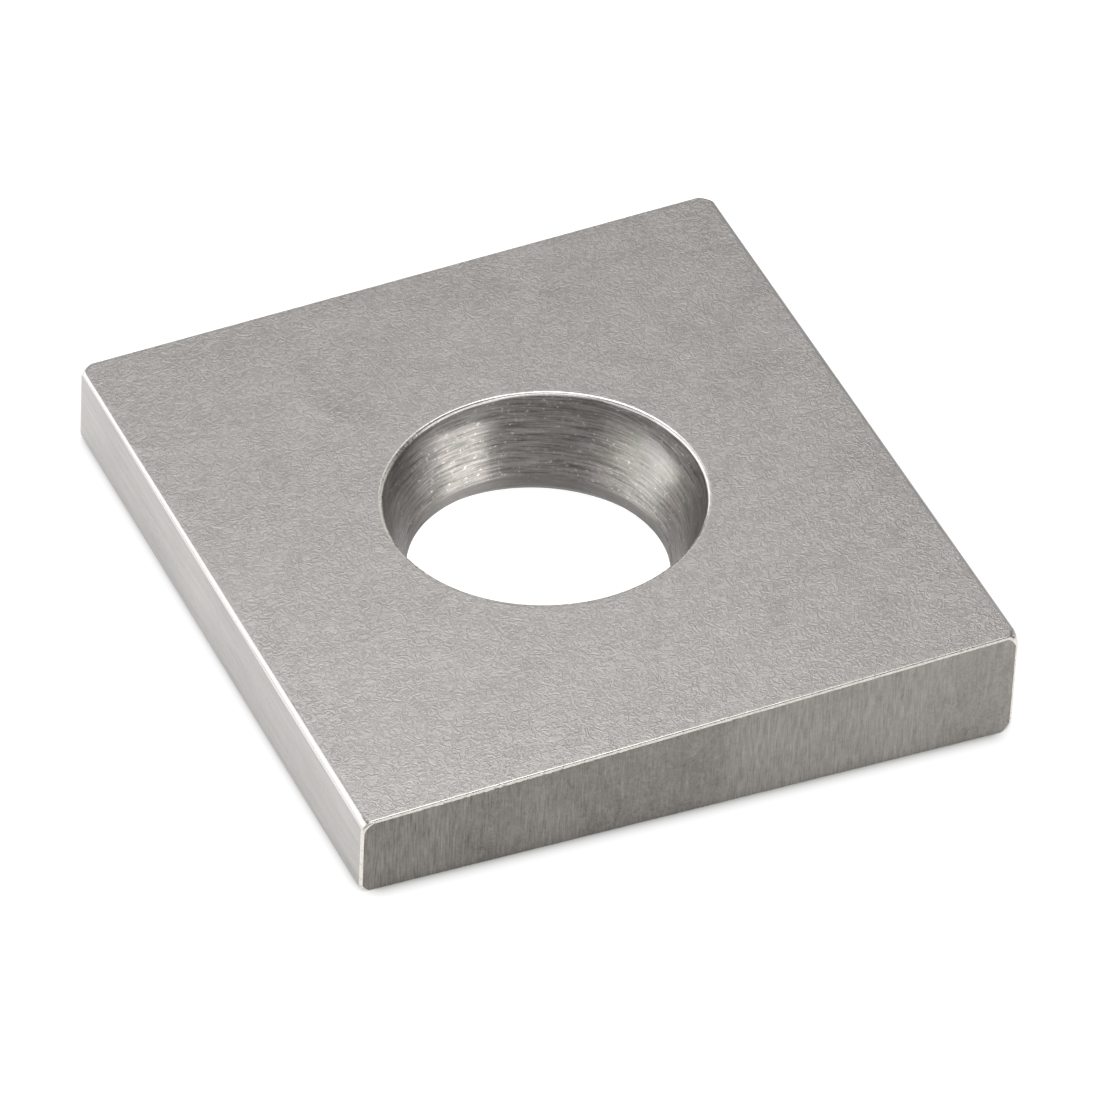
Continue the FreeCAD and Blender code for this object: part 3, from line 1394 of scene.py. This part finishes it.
@dataclass(frozen=True)
class Studio:
    """The floor, the room's grey, the softboxes and the beams into the bore."""

    room: Colour = (0.16, 0.16, 0.163)
    floor: PaleFloor = PaleFloor()
    lights: tuple[Softbox, ...] = (
        Softbox("back_softbox", 62.0, 42.0, 1.3, 1.1, 1.0, 0.55),
        Softbox("left_softbox", 128.0, 22.0, 1.0, 1.2, 0.7, 1.6),
        Softbox("low_left_softbox", 180.0, 25.0, 1.0, 0.9, 0.86, 0.9),
        Softbox("near_softbox", -118.0, 30.0, 1.2, 1.1, 0.9, 0.46),
        Softbox("right_softbox", -55.0, 31.0, 1.0, 1.1, 0.9, 1.1),
        BoreBeam("low_left_bore_beam", 150.0, 24.0, glow=0.42, aim_height=0.0076),
        BoreBeam("left_bore_beam", 168.0, 26.0, glow=0.34, aim_height=0.0076),
        BoreBeam("near_left_bore_beam", 188.0, 28.0, glow=0.20, aim_height=0.0076),
        BoreBeam("far_right_bore_beam", -18.0, 24.0, glow=0.20),
        BoreBeam("right_bore_beam", -40.0, 24.0, glow=0.46),
        BoreBeam("near_right_bore_beam", -62.0, 26.0, glow=0.44),
        Softbox("far_softbox", 25.0, 16.0, 1.3, 1.0, 0.6, 0.8),
        Softbox("front_softbox", -115.0, 64.0, 1.0, 0.8, 0.5, 1.5),
        Softbox("overhead_softbox", 90.0, 64.0, 0.32, 0.20, 0.14, 3.0),
    )

    def build(self) -> None:
        """Sets the studio up."""
        world = bpy.data.worlds.new("studio_room")
        world.use_nodes = True
        background = world.node_tree.nodes["Background"]
        background.inputs["Color"].default_value = (*self.room, 1.0)
        bpy.context.scene.world = world
        self.floor.build()
        for light in self.lights:
            light.build()
        view = bpy.context.scene.view_settings
        view.view_transform = "Standard"
        view.look = "None"


@dataclass(frozen=True)
class StudioCamera:
    """The camera, on the near left and above.

    Attributes:
        azimuth: How far to the left it stands, in degrees.
        elevation: How high it stands, in degrees.
        roll: How far it is tilted, in degrees.
        distance: How far it is from the washer's middle, in metres.
        focal_pixels: Its focal length, counted in pixels of a frame of frame_pixels.
        right_pixels: How far right of the frame's middle the washer's middle lies.
        down_pixels: How far below it the washer's middle lies.
        frame_pixels: The frame's side.
        sensor: The sensor's side, in millimetres.
        middle_height: Height of the washer's middle, in metres.
    """

    azimuth: float = 24.93
    elevation: float = 39.31
    roll: float = 2.92
    distance: float = 0.7063
    focal_pixels: float = 10706.8
    right_pixels: float = -8.05
    down_pixels: float = -8.45
    frame_pixels: float = 1096.0
    sensor: float = 36.0
    middle_height: float = 0.0035

    def build(self) -> bpy.types.Object:
        """Places the camera and makes it the scene's.

        Returns:
            The camera.
        """
        side, lift, tilt = (math.radians(angle) for angle in (self.azimuth, self.elevation, self.roll))
        level = Vector((math.sin(side), math.cos(side), 0.0)) * math.cos(lift)
        forward = level - Vector((0.0, 0.0, math.sin(lift)))
        right = Vector((math.cos(side), -math.sin(side), 0.0))
        up = right.cross(forward)
        rolled_right = right * math.cos(tilt) + up * math.sin(tilt)
        rolled_up = up * math.cos(tilt) - right * math.sin(tilt)
        pixel = self.distance / self.focal_pixels
        target = Vector((0.0, 0.0, self.middle_height))
        target += rolled_up * (self.down_pixels * pixel) - rolled_right * (self.right_pixels * pixel)
        lens = bpy.data.cameras.new("studio_camera")
        lens.sensor_width = self.sensor
        lens.lens = self.focal_pixels * self.sensor / self.frame_pixels
        lens.clip_start = 0.01
        lens.clip_end = 50.0
        camera = bpy.data.objects.new("studio_camera", lens)
        turn = Matrix((rolled_right, rolled_up, -forward)).transposed().to_4x4()
        camera.matrix_world = Matrix.Translation(target - forward * self.distance) @ turn
        bpy.context.scene.collection.objects.link(camera)
        bpy.context.scene.camera = camera
        return camera


def main() -> None:
    """Builds the camera, the studio and the washer."""
    logging.basicConfig(level=logging.INFO, format="%(message)s")
    StudioCamera().build()
    Studio().build()
    plate = WedgePlate().build()
    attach(plate, "root")
    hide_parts("taper_washer")
    triangles = sum(len(face.vertices) - 2 for face in plate.data.polygons)
    LOG.info("wedge_plate: %d triangles", triangles)


if __name__ == "__main__":
    main()
